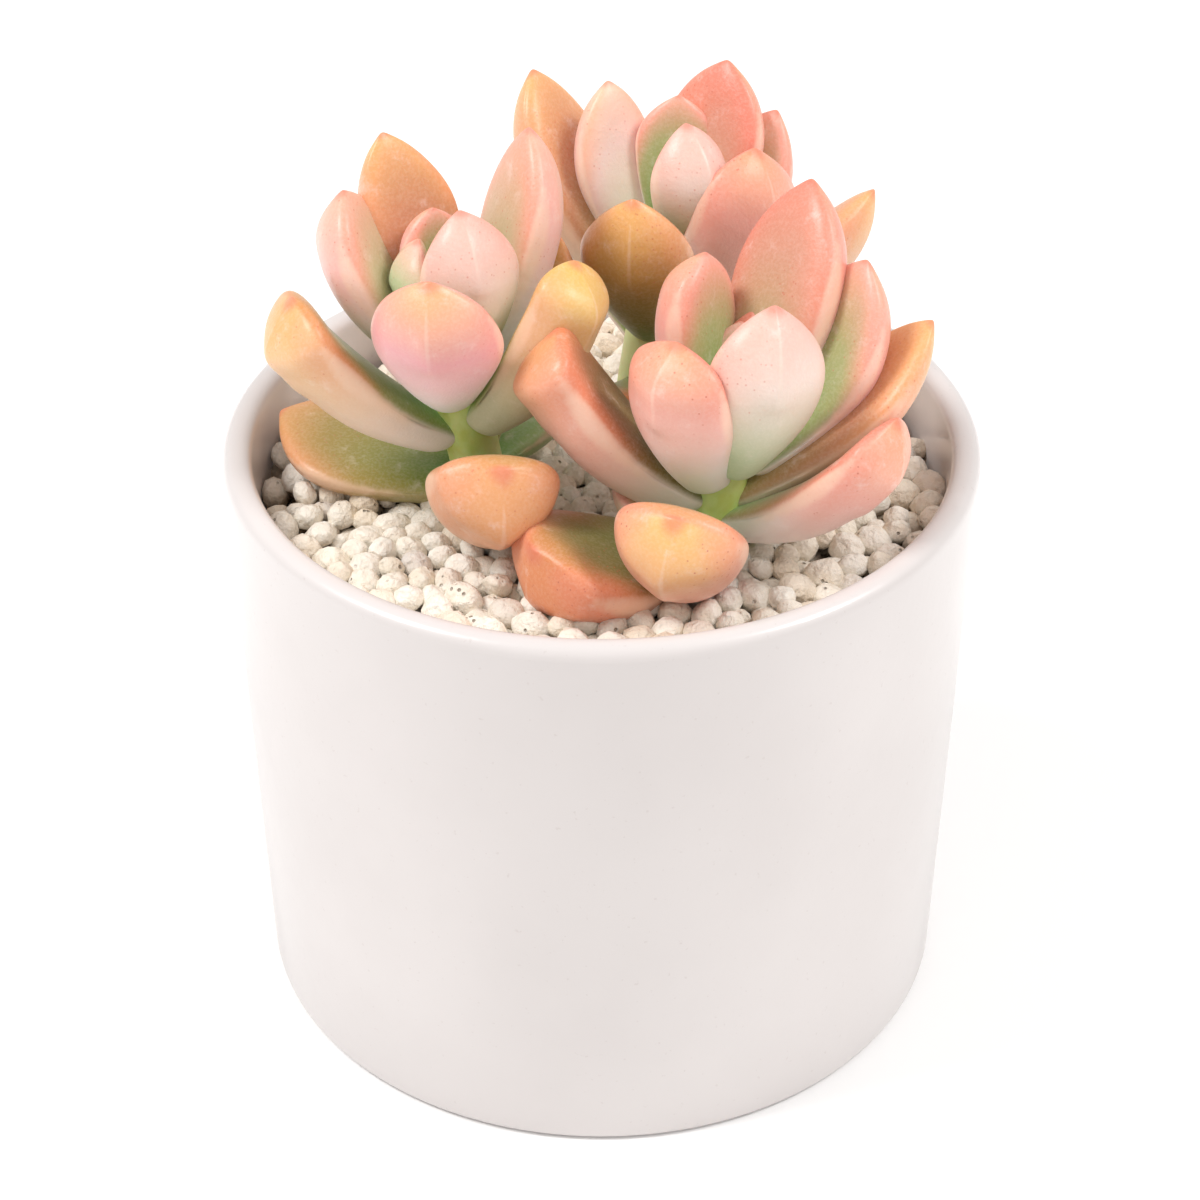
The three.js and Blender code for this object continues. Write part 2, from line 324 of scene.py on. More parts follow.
soften(pot, ring_at(pot_height, pot_radius), OUTER_LIP, 6)
soften(pot, ring_at(pot_height, pot_radius - WALL), INNER_LIP, 6)
soften(pot, ring_at(0, foot_radius), FOOT_EDGE, 4)
soften(pot, ring_at(FLOOR, foot_radius - WALL), FLOOR_EDGE, 4)
soften(pot, ring_at(0, recess), RECESS_EDGE, 2)
soften(pot, ring_at(FLOOR, DRAIN_RADIUS), DRAIN_EDGE, 3)
bpy.ops.mesh.select_all(action="SELECT")
bpy.ops.mesh.normals_make_consistent(inside=False)
bpy.ops.object.mode_set(mode="OBJECT")
bpy.ops.object.shade_smooth_by_angle(angle=radians(40))

glaze = finish("white_glaze", Roughness=0.3, Coat_Weight=0.35, Coat_Roughness=0.12, IOR=1.5)
clouds = noise(glaze, 35, 3).between(0.3, 0.7)
specks = noise(glaze, 1400, 2).between(0.68, 0.76) * 0.5
feed(glaze, "Base Color", specks.blend(clouds.blend(*GLAZE_COLOURS), GLAZE_SPECKS))
feed(glaze, "Roughness", 0.26 + 0.1 * noise(glaze, 90, 3))
relief(glaze, noise(glaze, 160, 3) + 0.25 * noise(glaze, 900, 2), 0.06 * MM)
pot.data.materials.append(glaze.material)
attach(pot, "root")
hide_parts("ceramic_pot")

# ---------------------------------------------------------------------------------------------------------
# Soil: dark crumbly potting mix, pressed into the pot to a little under the pellets. It shows only through
# the drain hole.
BED_SIDES = 64
BED_FILL = 0.985  # how far a bed reaches out towards the wall
SOIL_CRUMB = 0.25 * MM
SOIL_RINGS = (0.35, 0.5, 0.5, 0.5)  # ring widths, as shares of half the bed
SOIL_COLOURS = ((0.028, 0.018, 0.012), (0.11, 0.07, 0.045))
soil_low, soil_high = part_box("potting_soil")
soil = drum("soil_bed", BED_SIDES, (foot_radius - WALL) * BED_FILL, soil_low.z, soil_high.z)
edit(soil)
pick(soil, lambda centre, normal: normal.z < -0.9)
for share in SOIL_RINGS:
    bpy.ops.mesh.inset(thickness=share * 0.5 * (foot_radius - WALL))
bpy.ops.mesh.select_more()
bpy.ops.mesh.poke()
bpy.ops.mesh.subdivide(number_cuts=2)
bpy.ops.transform.vertex_random(offset=SOIL_CRUMB, uniform=1.0, normal=0.0, seed=3)
bpy.ops.object.mode_set(mode="OBJECT")
earth = finish("potting_mix", Roughness=0.95)
crumbs = noise(earth, 900, 6, 0.7)
feed(earth, "Base Color", crumbs.between(0.35, 0.65).blend(*SOIL_COLOURS))
relief(earth, crumbs, 0.6 * MM)
soil.data.materials.append(earth.material)
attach(soil, "root")
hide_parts("potting_soil")

# ---------------------------------------------------------------------------------------------------------
# Stems: each rosette grows on one short green stem that goes down through the pellets into the soil. It is
# drawn ring by ring along its centre line, swells a little where leaves have grown, and ends among them.
PLANTS = ("left", "right", "back")
STEM_SIDES = 20
STEM_SWELL = (1.0, 1.0, 1.02, 1.1, 1.06, 1.14, 1.1, 0.9)
STEM_FULLNESS = 1.2  # rings that are smoothed later are drawn this much wider
STEM_GREENS = ((0.56, 0.64, 0.16), (0.70, 0.78, 0.32))
STEM_PALE = (0.70, 0.77, 0.40)
CAD_STEM_SIDES = 12  # the corners in each ring of a CAD stem


def corners(node):
    """The corners of a CAD node's mesh, each once."""
    mesh = frame["nodes"][node].data
    return np.unique(np.array([vertex.co for vertex in mesh.vertices]).round(6), axis=0)


def centre_line(node):
    """The middles of a stem's rings, from its buried end up."""
    points = corners(node)
    points = points[np.argsort(points[:, 2])]
    rings = len(points) // CAD_STEM_SIDES
    return [Vector(ring.mean(axis=0)) for ring in np.array_split(points, rings)]


stem_lines = {plant: centre_line(plant + "_stem") for plant in PLANTS}
stem_low, stem_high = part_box("left_stem")
stem_radius = (stem_high.y - stem_low.y) / 2 * STEM_FULLNESS

stem_skin = finish("stem_skin", Roughness=0.42, Subsurface_Weight=0.35, Subsurface_Scale=2 * MM)
streaks = noise(stem_skin, 260, 3)
green = streaks.between(0.3, 0.7).blend(*STEM_GREENS)
feed(stem_skin, "Base Color", noise(stem_skin, 60, 1).between(0.4, 0.7).blend(green, STEM_PALE))
relief(stem_skin, noise(stem_skin, 700, 3), 0.12 * MM)

for plant in PLANTS:
    line = stem_lines[plant]
    bpy.ops.object.select_all(action="DESELECT")
    bpy.ops.mesh.primitive_circle_add(vertices=STEM_SIDES, radius=stem_radius, fill_type="NGON",
                                      location=line[0])
    bpy.ops.object.transform_apply(location=True, rotation=True, scale=True)
    stem = bpy.context.object
    stem.name = plant + "_green_stem"
    edit(stem)
    bpy.ops.mesh.select_all(action="SELECT")
    for low, high, before, after in zip(line, line[1:], STEM_SWELL, STEM_SWELL[1:]):
        grow(high - low, after / before, high)
    bpy.ops.mesh.select_all(action="SELECT")
    bpy.ops.mesh.normals_make_consistent(inside=False)
    apply(stem, "SUBSURF", levels=2, render_levels=2)
    bpy.ops.object.shade_smooth()
    stem.data.materials.append(stem_skin.material)
    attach(stem, "root")
    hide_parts(plant + "_stem")

# ---------------------------------------------------------------------------------------------------------
# Leaves: thick, keeled, boat-shaped blades that grow in rosettes. One blade is drawn out from its foot to
# its tip, its face is pressed flat and its keel sharpened, and each leaf is a copy of it, fitted to its
# own length, width, thickness and bow.
BLADE_SIDES = 8
# Each ring's place along the blade, its half width and its half depth.
BLADE_RINGS = (
    (0.0, 0.40, 0.60), (0.1, 0.47, 0.72), (0.25, 0.66, 0.90), (0.42, 0.87, 1.0), (0.58, 1.0, 1.0),
    (0.71, 0.96, 0.93), (0.83, 0.75, 0.78), (0.92, 0.46, 0.52), (0.97, 0.20, 0.24), (1.0, 0.03, 0.03))
FACE_WIDER, FACE_FLATTER = 1.16, 0.42
BACK_WIDER, BACK_FLATTER = 1.14, 0.86
MARGIN_CREASE = 0.2
KEEL_CREASE = 0.5
HAIR = 1e-4
bpy.ops.object.select_all(action="DESELECT")
bpy.ops.mesh.primitive_circle_add(vertices=BLADE_SIDES, radius=1, fill_type="NGON", rotation=(0, pi / 2, 0))
bpy.ops.object.transform_apply(location=True, rotation=True, scale=True)
blade = bpy.context.object
edit(blade)
bpy.ops.mesh.select_all(action="SELECT")
bpy.ops.transform.resize(value=(1, BLADE_RINGS[0][1], BLADE_RINGS[0][2]))
for (here, wide, deep), (there, wider, deeper) in zip(BLADE_RINGS, BLADE_RINGS[1:]):
    bpy.ops.mesh.extrude_region_move(TRANSFORM_OT_translate={"value": (there - here, 0, 0)})
    bpy.ops.transform.resize(value=(1, wider / wide, deeper / deep), center_override=(there, 0, 0))
pick(blade, lambda place: place.z > HAIR, "VERT")
bpy.ops.transform.resize(value=(1, FACE_WIDER, FACE_FLATTER), center_override=(0, 0, 0))
pick(blade, lambda place: place.z < -HAIR and abs(place.y) > 10 * HAIR, "VERT")
bpy.ops.transform.resize(value=(1, BACK_WIDER, BACK_FLATTER), center_override=(0, 0, 0))
pick(blade, lambda a, b: max(abs(a.z), abs(b.z)) < HAIR and abs(a.x - b.x) > 10 * HAIR, "EDGE")
bpy.ops.transform.edge_crease(value=MARGIN_CREASE)
pick(blade, lambda a, b: max(abs(a.y), abs(b.y)) < HAIR and max(a.z, b.z) < 0 and min(a.x, b.x) > 0.5
     and abs(a.x - b.x) > 10 * HAIR, "EDGE")
bpy.ops.transform.edge_crease(value=KEEL_CREASE)
bpy.ops.mesh.select_all(action="SELECT")
bpy.ops.mesh.normals_make_consistent(inside=False)
apply(blade, "SUBSURF", levels=3, render_levels=3)
bpy.ops.object.shade_smooth()

# Where each point of the blade is: along it, across it, and how far out of its margins' plane.
drawn = np.array([vertex.co for vertex in blade.data.vertices])
stations = np.linspace(0, 1, 41)
slices = [drawn[np.abs(drawn[:, 0] - station) < 0.03] for station in stations]
half_width = np.array([np.abs(piece[:, 1]).max() for piece in slices])
rise = np.array([piece[:, 2].max() for piece in slices])
drop = np.array([-piece[:, 2].min() for piece in slices])
along = drawn[:, 0].clip(0, 1)
across = (drawn[:, 1] / np.interp(along, stations, half_width)).clip(-1, 1)
side = np.where(drawn[:, 2] > 0, drawn[:, 2] / np.interp(along, stations, rise),
                drawn[:, 2] / np.interp(along, stations, drop)).clip(-1, 1)
blade_map = blade.data.attributes.new("blade_map", "FLOAT_VECTOR", "POINT")
blade_map.data.foreach_set("vector", np.stack([along, across, side], 1).astype(np.float32).ravel())
blade.data.attributes.new("blade_tint", "FLOAT", "POINT")


FOOT_REACH = 1.2 * MM  # corners this much further from the stem than the nearest one are still the foot
LINE_POINTS = 12
TURNS_TRIED = 90


def measure(node, line):
    """A leaf's foot, tip, directions and sizes, from its CAD node and its stem's centre line."""
    points = corners(node)
    joints = np.array([list(p) for p in line])
    middles = np.array([np.linspace(a, b, LINE_POINTS) for a, b in zip(joints, joints[1:])]).reshape(-1, 3)
    reach = np.linalg.norm(points[:, None] - middles[None], axis=2).min(axis=1)
    foot = points[reach < reach.min() + FOOT_REACH].mean(axis=0)
    tip = points[np.linalg.norm(points - foot, axis=1).argmax()]
    length = np.linalg.norm(tip - foot)
    forward = (tip - foot) / length
    aside = np.cross(forward, (0, 0, 1))
    aside /= np.linalg.norm(aside)
    up = np.cross(aside, forward)
    rest = points - foot
    best = None
    for turn in np.linspace(0, pi, TURNS_TRIED, endpoint=False):
        way = cos(turn) * aside + sin(turn) * up
        spread = rest @ way
        if best is None or np.ptp(spread) > best[0]:
            best = (np.ptp(spread), way, spread.argmax(), spread.argmin())
    width, aside, one, other = best
    face = np.cross(forward, aside)
    heights = rest @ face
    if heights.max() > -heights.min():
        face, heights = -face, -heights
    aside = np.cross(face, forward)
    margin = (rest[one] + rest[other]) / 2
    return dict(foot=foot, forward=forward, aside=aside, face=face, length=length, width=width,
                margin=(margin @ forward / length, margin @ face), depth=-heights.min(),
                middle=(margin @ aside))


def shade(red, green, blue):
    """A colour as the eye sees it, each part from 0 to 1, turned into the light that a paint gives back."""
    return tuple(part / 12.92 if part < 0.04 else ((part + 0.055) / 1.055) ** 2.4
                 for part in (red, green, blue))


def mid(low, high, share):
    """A shade between two colours."""
    return shade(*(a + (b - a) * share for a, b in zip(low, high)))


LEAF_TONE = 0.985  # all leaf colours are taken down to this share
FLUSH = shade(0.93, 0.60, 0.50)
BORDER = shade(0.94, 0.58, 0.50)
BLOOM = shade(0.99, 0.96, 0.92)
FRECKLE = shade(0.80, 0.42, 0.33)
FROST = shade(0.99, 0.93, 0.90)
# The leaf's pale margin with a painted highlight along it
MARGIN_PALE_AND_HIGHLIGHT = shade(0.99, 0.86, 0.76)
# A painted highlight along the keel
KEEL_HIGHLIGHT = shade(0.99, 0.90, 0.84)
ROSY_POINT = shade(0.86, 0.47, 0.38)
FRECKLES_PER_M = 1200.0


def leaf_skin(name, outer, inner, blush=0.5):
    """A waxy leaf skin. Outer and inner are the colours of the back and the face at tip, middle and foot."""
    outer, inner = ([tuple(part * LEAF_TONE for part in colour) for colour in side]
                    for side in (outer, inner))
    skin = finish(name, Subsurface_Weight=0.14, Subsurface_Scale=2.5 * MM, Subsurface_Radius=(1.0, 0.55, 0.4),
                  IOR=1.42, Coat_Weight=0.2, Coat_Roughness=0.25, Sheen_Weight=0.05)
    spot = skin.make("ShaderNodeAttribute", {"attribute_name": "blade_map"}, out=1)
    tint = skin.make("ShaderNodeAttribute", {"attribute_name": "blade_tint"}, out=2)
    axes = skin.make("ShaderNodeSeparateXYZ", None, {"Vector": spot}).socket.node
    along, across, side = (Value(skin.tree, axes.outputs[i]) for i in range(3))
    clouds = noise(skin, 110, 2)
    grain = noise(skin, 2600, 3, 0.6)
    place = along + 0.12 * (clouds - 0.5) + 0.1 * (tint - 0.5) + 0.03 * (grain - 0.5)
    faces = []
    for (tip, middle, foot), low, rim in ((outer, 0.2, 0.0), (inner, 0.14, 0.34)):
        stops = [(low, shade(*foot)), (low + 0.25, mid(foot, middle, 0.55)),
                 (0.68, shade(*middle)), (0.97, shade(*tip))]
        reach = place + rim * abs(across) ** 3
        faces.append(skin.make("ShaderNodeValToRGB", {"stops": stops}, {"Fac": reach}))
    colour = side.between(-0.15, 0.45).blend(*faces)
    # A flush on one half of the leaf, mottled wax, rosy freckles, painted highlights on the pale margins and
    # keel.
    flush = (across * (tint - 0.5) * 2.4 + clouds - 0.5).between(0.15, 0.9) * along.between(0.25, 0.6)
    colour = (flush * blush * 0.6).blend(colour, FLUSH)
    border = (abs(across) + 0.3 * (clouds - 0.5)).between(0.55, 1.0) * along.between(0.4, 0.8)
    colour = (border * (0.1 + 0.4 * blush)).blend(colour, BORDER)
    colour = (grain.between(0.42, 0.62) * 0.07).blend(colour, BLOOM)
    cells = skin.make("ShaderNodeTexVoronoi", {"feature": "F1"},
                      {"Vector": skin.place, "Scale": FRECKLES_PER_M, "Randomness": 1.0})
    freckles = (1 - cells.between(0.08, 0.2)) * clouds.between(0.40, 0.60) * along.between(0.3, 0.6)
    colour = (freckles * (0.25 + blush * 0.6)).blend(colour, FRECKLE)
    frost = noise(skin, 330, 4, 0.7).between(0.55, 0.78)
    colour = (frost * 0.3).blend(colour, FROST)
    # Painted highlight along the margin ridges, over the leaf's own pale margin.
    edge = abs(across).between(0.93, 0.985) * along.between(0.15, 0.4)
    # Painted highlight along the keel.
    ridge = abs(across + 0.08 * (clouds - 0.5))
    keel = (1 - ridge.between(0.01, 0.06)) * (side * -1).between(0.7, 0.95) * along.between(0.5, 0.85)
    colour = (edge * 0.5).blend(colour, MARGIN_PALE_AND_HIGHLIGHT)
    colour = (keel * 0.22).blend(colour, KEEL_HIGHLIGHT)
    colour = (along.between(0.96, 0.995) * 0.6).blend(colour, ROSY_POINT)
    feed(skin, "Base Color", colour)
    feed(skin, "Roughness", 0.34 + 0.14 * grain)
    relief(skin, grain + 2 * noise(skin, 420, 3) + 4 * noise(skin, 130, 1), 0.05 * MM)
    return skin.material


SKINS = {
    "blush": leaf_skin("blush_leaf", ((0.95, 0.68, 0.54), (0.95, 0.73, 0.71), (0.98, 0.95, 0.93)),
                       ((0.95, 0.66, 0.58), (0.68, 0.69, 0.47), (0.42, 0.57, 0.29))),
    "petal": leaf_skin("petal_leaf", ((0.96, 0.72, 0.62), (0.96, 0.78, 0.75), (0.98, 0.95, 0.93)),
                       ((0.95, 0.67, 0.57), (0.81, 0.73, 0.58), (0.42, 0.58, 0.30))),
    "pale": leaf_skin("pale_leaf", ((0.98, 0.78, 0.64), (0.97, 0.84, 0.81), (0.96, 0.95, 0.91)),
                      ((0.98, 0.77, 0.65), (0.97, 0.85, 0.82), (0.90, 0.92, 0.82)), 0.3),
    "rose": leaf_skin("rose_leaf", ((0.95, 0.70, 0.50), (0.93, 0.67, 0.68), (0.99, 0.97, 0.96)),
                      ((0.94, 0.64, 0.58), (0.80, 0.74, 0.56), (0.56, 0.68, 0.42)), 0.3),
    "coral": leaf_skin("coral_leaf", ((0.94, 0.64, 0.48), (0.94, 0.69, 0.63), (0.98, 0.94, 0.92)),
                       ((0.92, 0.53, 0.44), (0.86, 0.61, 0.51), (0.58, 0.71, 0.47)), 0.8),
    "gold": leaf_skin("gold_leaf", ((0.92, 0.69, 0.43), (0.94, 0.77, 0.60), (0.97, 0.91, 0.87)),
                      ((0.84, 0.58, 0.34), (0.56, 0.57, 0.30), (0.46, 0.62, 0.34)), 0.4),
    "umber": leaf_skin("umber_leaf", ((0.92, 0.64, 0.43), (0.92, 0.69, 0.60), (0.97, 0.90, 0.87)),
                       ((0.87, 0.52, 0.35), (0.55, 0.40, 0.22), (0.40, 0.50, 0.25)), 0.5),
    "lemon": leaf_skin("lemon_leaf", ((0.90, 0.72, 0.34), (0.89, 0.74, 0.52), (0.84, 0.82, 0.68)),
                       ((0.86, 0.70, 0.32), (0.68, 0.70, 0.36), (0.50, 0.66, 0.32)), 0.3),
    "olive": leaf_skin("olive_leaf", ((0.90, 0.62, 0.39), (0.86, 0.66, 0.47), (0.66, 0.62, 0.40)),
                       ((0.86, 0.62, 0.38), (0.66, 0.57, 0.30), (0.44, 0.57, 0.25)), 0.2),
    "ember": leaf_skin("ember_leaf", ((0.91, 0.58, 0.38), (0.89, 0.56, 0.41), (0.86, 0.68, 0.58)),
                       ((0.86, 0.54, 0.34), (0.54, 0.50, 0.27), (0.40, 0.52, 0.26)), 0.8),
    "clay": leaf_skin("clay_leaf", ((0.92, 0.66, 0.45), (0.91, 0.66, 0.49), (0.89, 0.76, 0.66)),
                      ((0.84, 0.60, 0.38), (0.60, 0.56, 0.32), (0.44, 0.54, 0.28)), 0.3),
    "apricot": leaf_skin("apricot_leaf", ((0.96, 0.75, 0.46), (0.94, 0.69, 0.57), (0.95, 0.67, 0.65)),
                         ((0.92, 0.62, 0.44), (0.60, 0.58, 0.34), (0.44, 0.56, 0.30)), 0.9),
    "bronze": leaf_skin("bronze_leaf", ((0.92, 0.70, 0.42), (0.75, 0.60, 0.32), (0.34, 0.44, 0.16)),
                        ((0.76, 0.54, 0.30), (0.50, 0.48, 0.24), (0.38, 0.46, 0.22)), 0.3),
    "tan": leaf_skin("tan_leaf", ((0.93, 0.71, 0.46), (0.92, 0.70, 0.54), (0.93, 0.86, 0.78)),
                     ((0.93, 0.67, 0.43), (0.80, 0.56, 0.42), (0.60, 0.55, 0.34)), 0.5),
    "cream": leaf_skin("cream_leaf", ((0.95, 0.72, 0.66), (0.93, 0.84, 0.79), (0.79, 0.85, 0.71)),
                       ((0.95, 0.74, 0.68), (0.90, 0.90, 0.82), (0.64, 0.76, 0.53)), 0.3),
    "bud": leaf_skin("bud_leaf", ((0.94, 0.72, 0.66), (0.76, 0.82, 0.64), (0.60, 0.73, 0.46)),
                     ((0.93, 0.70, 0.62), (0.68, 0.78, 0.54), (0.52, 0.67, 0.40)), 0.1),
}
# Each leaf of a rosette, from the lowest to the heart: its skin, how far it is rolled about its length in
# degrees, how much wider, thicker and blunter it is than a plain blade, and how far it leans aside in mm.
LEAVES = {
    "left": (
        ("olive", -2, 1.14, 1.45, 0.0, 0), ("clay", 0, 1.0, 1.38, 0.24, 0), ("bud", 0, 0.55, 0.8, 0.0, 0),
        ("olive", 0, 1.0, 1.0, 0.0, 0), ("gold", 22, 0.97, 1.1, 0.3, 0), ("olive", 0, 1.0, 1.1, 0.0, 0),
        ("lemon", 0, 0.8, 1.1, 0.3, 0), ("gold", 0, 1.0, 1.0, 0.0, 0), ("rose", 0, 1.0, 1.0, 0.06, 0),
        ("petal", -28, 1.0, 1.25, 0.0, 0), ("tan", 0, 1.08, 1.0, 0.0, -0.8), ("petal", 8, 1.0, 1.25, 0.06, 0),
        ("cream", -16, 0.95, 1.0, 0.0, 0), ("blush", 20, 1.0, 1.1, 0.0, 0), ("bud", 0, 1.6, 1.6, 0.0, 0)),
    "right": (
        ("ember", -8, 1.2, 1.75, 0.22, 0), ("bronze", 0, 1.0, 1.1, 0.0, 0),
        ("apricot", 0, 1.0, 1.35, 0.16, 0), ("bud", 0, 1.0, 1.0, 0.0, 0), ("ember", 0, 1.0, 1.0, 0.0, 0),
        ("coral", -14, 1.0, 1.15, 0.2, 0), ("tan", 0, 1.0, 1.0, 0.0, 0), ("umber", 12, 0.95, 1.12, 0.36, 0),
        ("coral", 0, 0.98, 1.0, 0.16, 0), ("blush", 14, 1.05, 1.3, 0.04, 0), ("blush", 45, 1.0, 1.2, 0.08, 0),
        ("coral", -20, 0.97, 1.15, 0.0, 0), ("cream", 0, 0.95, 1.0, 0.0, 0), ("coral", 0, 1.0, 1.1, 0.0, 0),
        ("bud", 0, 1.0, 1.1, 0.0, 0)),
    "back": (
        ("ember", 0, 1.0, 1.1, 0.0, 0), ("ember", 0, 1.0, 1.0, 0.0, 0), ("gold", 0, 1.0, 1.0, 0.0, 0),
        ("tan", -20, 1.0, 1.2, 0.0, 0), ("bronze", 0, 0.97, 1.0, 0.0, 0), ("gold", 0, 1.0, 1.0, 0.0, 0),
        ("tan", 8, 0.97, 1.25, 0.0, 0), ("coral", 0, 1.0, 1.0, 0.05, 1.6), ("pale", 0, 0.9, 1.2, 0.0, 0),
        ("blush", 30, 1.2, 1.35, 0.0, 0), ("coral", 0, 1.0, 1.1, 0.0, 0), ("cream", 0, 0.7, 1.0, 0.0, 0),
        ("blush", 15, 1.0, 1.1, 0.0, 0), ("bud", 0, 1.2, 1.2, 0.0, 0)),
}
SEED = 11
CAD_FILL = 0.98  # the share of its CAD node's depth that a plain blade takes
FOOT_SINK = 2.0 * MM  # how deep a leaf's foot goes into its stem
SHOULDER_PLACE, SHOULDER_LENGTH = 0.87, 0.11  # where a blunt leaf is fuller, as shares of its length
TUCK, TUCK_START = 0.25, 0.8  # how much, and from where, a blunt leaf's tip is drawn back
HOLLOW = 0.12  # how far the face sinks along its middle, as a share of the depth
BEND = 0.012  # how far a leaf bends aside by chance, as a share of its length
KEEL_LEAN = 0.07  # how far its keel strays by chance, as a share of its width
WAVE, WAVE_TURN = 0.018, 6  # how far the margins sway, as a share of the width, and in how many radians
RIPPLE, RIPPLE_TURN = 0.012, 13  # and how far they swell
PHASE = 3  # how far the starts of both are spread, in radians
rng = np.random.default_rng(SEED)
for plant in PLANTS:
    for number, (kind, roll, widen, thicken, blunt, lean) in enumerate(LEAVES[plant], 1):
        node = f"{plant}_leaf_{number:02d}"
        cad_leaf = measure(node, stem_lines[plant])
        length = cad_leaf["length"]
        bow_place, bow = cad_leaf["margin"]
        deep = CAD_FILL * (cad_leaf["depth"] + bow) * thicken
        aside = cos(radians(roll)) * cad_leaf["aside"] + sin(radians(roll)) * cad_leaf["face"]
        face = cos(radians(roll)) * cad_leaf["face"] - sin(radians(roll)) * cad_leaf["aside"]
        wobble = rng.normal(0, 1, 6)
        s, y, z = drawn.T
        spine = bow * s * (1 - s) / (bow_place * (1 - bow_place))
        sway = (cad_leaf["middle"] + BEND * length * wobble[0] + lean * MM) * np.sin(pi * s)
        shoulder = 1 + blunt * np.exp(-((s - SHOULDER_PLACE) / SHOULDER_LENGTH) ** 2)
        tucked = s - TUCK * blunt * ((s - TUCK_START).clip(0) / (1 - TUCK_START)) ** 2
        tucked = tucked / tucked.max()
        wide = 0.5 * cad_leaf["width"] * widen * shoulder / np.abs(drawn[:, 1]).max()
        waves = (1 + WAVE * np.sin(WAVE_TURN * s + wobble[1] * PHASE) * np.sign(y)
                 + RIPPLE * np.sin(RIPPLE_TURN * s + wobble[2] * PHASE))
        hollow = -HOLLOW * deep * (1 - (y / 0.97) ** 2).clip(0, 1) * (z > 0) * np.sin(pi * s.clip(0, 1))
        keel_lean = KEEL_LEAN * wobble[3] * (z < 0) * (-z) * (1 - np.abs(y))
        forward = -FOOT_SINK + (length + FOOT_SINK) * tucked
        points = (cad_leaf["foot"] + np.outer(forward, cad_leaf["forward"])
                  + np.outer(spine, cad_leaf["face"]) + np.outer(sway, cad_leaf["aside"])
                  + np.outer(wide * (y * waves + keel_lean), aside)
                  + np.outer(z * deep * shoulder + hollow, face))
        leaf = bpy.data.objects.new(f"{plant}_blade_{number:02d}", blade.data.copy())
        bpy.context.collection.objects.link(leaf)
        leaf.data.vertices.foreach_set("co", points.astype(np.float32).ravel())
        tint = np.full(len(points), rng.random(), np.float32)
        leaf.data.attributes["blade_tint"].data.foreach_set("value", tint)
        leaf.data.materials.append(SKINS[kind])
        leaf.data.update()
        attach(leaf, "root")
        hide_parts(node)
bpy.data.objects.remove(blade)

# ---------------------------------------------------------------------------------------------------------
# Pumice: a loose layer of cream-white volcanic pellets over the soil. Eight lumps are made, and each pellet
# is a turned copy of one of them, shaken into its place between the wall, the stems and the low leaves.
PELLETS = 1180
PELLET_SMALL = 1.45 * MM
PELLET_LARGE = 2.35 * MM
PELLET_DEPTH = 6.5 * MM
LUMPS = 8
LUMP_DENTS = 0.055
LUMP_SHAPE = (1.1, 1.0, 0.86)
LUMP_SWELL = 1.06
SHAKES = 70
PLANT_SHAKE = 5  # pellets are pressed out of the leaves and stems at every fifth shake
EASE = 0.42  # the share of an overlap that each of two pellets gives way at a shake
PACKING = 0.93  # how near two pellets come, as a share of their radii together
PRESS_IN = 0.9  # how near a pellet comes to a leaf or a stem, as a share of its radius
WALL_NEAR = 0.95  # how near it comes to the wall
TOP_DROP = 1.5 * MM  # how far under the layer's top the highest pellets start
PROUD = 0.35 * MM  # how far a pellet may stand over the layer's top
SINK = 0.5 * MM  # how far its middle may go under the bed's top
STONE_TONES = (
    (0.0, shade(0.93, 0.87, 0.79)), (0.1, shade(0.97, 0.94, 0.88)), (0.4, shade(0.99, 0.975, 0.94)),
    (0.8, shade(0.98, 0.95, 0.90)), (0.93, shade(0.94, 0.89, 0.82)), (1.0, shade(0.90, 0.88, 0.86)))
STONE_STAIN = shade(0.90, 0.82, 0.70)
STONE_HOLLOW_SHADE = shade(0.88, 0.81, 0.70)
STONE_DEPTH_SHADE = shade(0.66, 0.56, 0.43)
STONE_PIT_SHADE = shade(0.55, 0.45, 0.33)
BED_SHADE_TONES = (shade(0.45, 0.37, 0.27), shade(0.70, 0.61, 0.50))
pumice_low, pumice_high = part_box("pumice_layer")
bed_top = pumice_high.z - PELLET_DEPTH
bore_top = pot_radius - WALL

lumps = []
for number in range(LUMPS):
    bpy.ops.object.select_all(action="DESELECT")
    bpy.ops.mesh.primitive_ico_sphere_add(subdivisions=2, radius=1)
    lump = bpy.context.object
    edit(lump)
    bpy.ops.mesh.select_all(action="SELECT")
    bpy.ops.transform.vertex_random(offset=LUMP_DENTS, uniform=0.7, normal=0.6, seed=number + 1)
    bpy.ops.transform.resize(value=LUMP_SHAPE)
    bpy.ops.object.mode_set(mode="OBJECT")
    lumps.append(lump)

shapes = [frame["nodes"][n] for n in frame["nodes"] if "leaf" in n or "stem" in n]
plant_points = []
plant_faces = []
for shape in shapes:
    offset = len(plant_points)
    plant_points += [vertex.co.copy() for vertex in shape.data.vertices]
    plant_faces += [[offset + i for i in face.vertices] for face in shape.data.polygons]
plant_tree = BVHTree.FromPolygons(plant_points, plant_faces)

